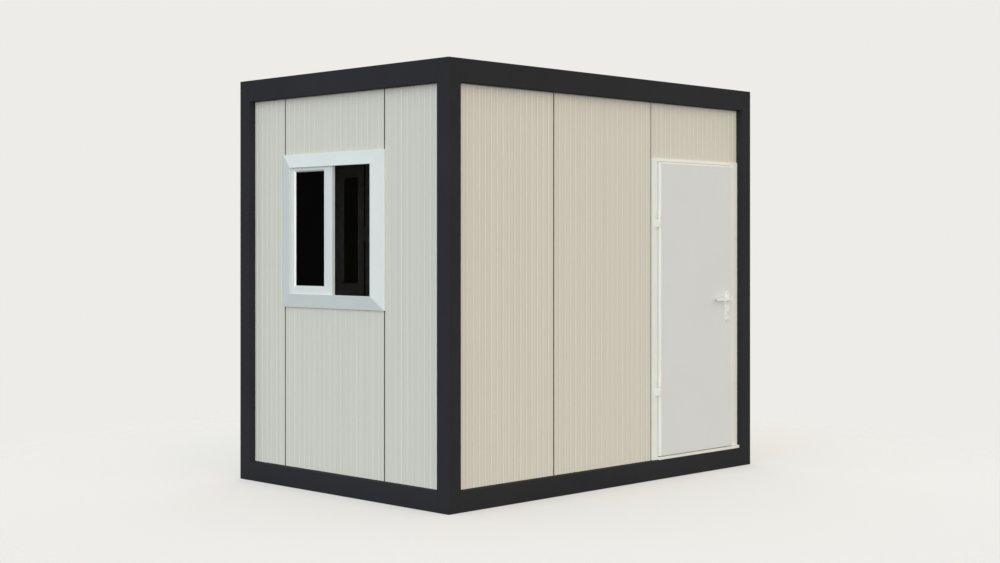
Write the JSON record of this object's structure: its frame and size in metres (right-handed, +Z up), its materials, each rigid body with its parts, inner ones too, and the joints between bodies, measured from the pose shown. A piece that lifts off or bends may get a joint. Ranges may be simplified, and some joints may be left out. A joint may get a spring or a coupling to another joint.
{
  "type": "security guard booth",
  "caption": "Guard booth with a black steel frame, grooved off-white wall panels, a sliding window in one end and a hinged door with a lever handle in the long front.",
  "frame": {"origin": "middle of the underside of the base frame", "axes": "+X along the front from the window end to the door end, -Y out of the front with the door, +Z up"},
  "size_m": [3, 2.029, 2.655],
  "materials": {
    "frame_steel": "satin black paint",
    "joist_steel": "matt black primer",
    "floor_board": "grey board with a smooth covering",
    "roof_panel": "coated sheet, off white",
    "ledge_steel": "white paint",
    "wall_panel": "coated sheet, off white",
    "door_frame": "ivory paint",
    "door_leaf": "pale grey paint",
    "door_fittings": "white powder coat",
    "window_plastic": "white, smooth",
    "window_glass": "dark tinted",
    "screen_mesh": "charcoal mesh"
  },
  "bodies": {
    "booth": {"corner_post_front_left": "frame_steel", "corner_post_front_right": "frame_steel", "corner_post_back_left": "frame_steel", "corner_post_back_right": "frame_steel", "base_rail_front": "frame_steel", "base_rail_back": "frame_steel", "base_rail_left": "frame_steel", "base_rail_right": "frame_steel", "roof_rail_front": "frame_steel", "roof_rail_back": "frame_steel", "roof_rail_left": "frame_steel", "roof_rail_right": "frame_steel", "floor_joists": "joist_steel", "floor_deck": "floor_board", "roof_ledges": "ledge_steel", "roof_panel_left": "roof_panel", "roof_panel_middle": "roof_panel", "roof_panel_right": "roof_panel", "front_panel_left": "wall_panel", "front_panel_middle": "wall_panel", "over_door_panel": "wall_panel", "left_panel_front": "wall_panel", "window_panel": "wall_panel", "left_panel_back": "wall_panel", "right_panel_front": "wall_panel", "right_panel_middle": "wall_panel", "right_panel_back": "wall_panel", "back_panel_left": "wall_panel", "back_panel_middle": "wall_panel", "back_panel_right": "wall_panel", "door_jamb_hinge": "door_frame", "door_jamb_lock": "door_frame", "door_head": "door_frame", "door_threshold": "door_frame", "hinge_pins": "door_fittings", "window_frame": "window_plastic", "outer_sash": "window_plastic", "outer_glass": "window_glass", "inner_sash": "window_plastic", "inner_glass": "window_glass", "window_screen": "screen_mesh"},
    "door": {"door_leaf": "door_leaf", "hinge_knuckles": "door_fittings", "handle_plates": "door_fittings"},
    "lever": {"door_lever": "door_fittings"}
  },
  "joints": [
    {"name": "door_swing", "type": "hinge", "parent": "booth", "child": "door", "pos_m": [0.481, -0.986, 1.13], "axis": [0, 0, -1], "range_deg": [0, 120]},
    {"name": "lever_turn", "type": "hinge", "parent": "door", "child": "lever", "pos_m": [1.241, -0.983, 1.183], "axis": [0, -1, 0], "range_deg": [0, 40], "stiffness_Nm_per_rad": 1.5}
  ]
}
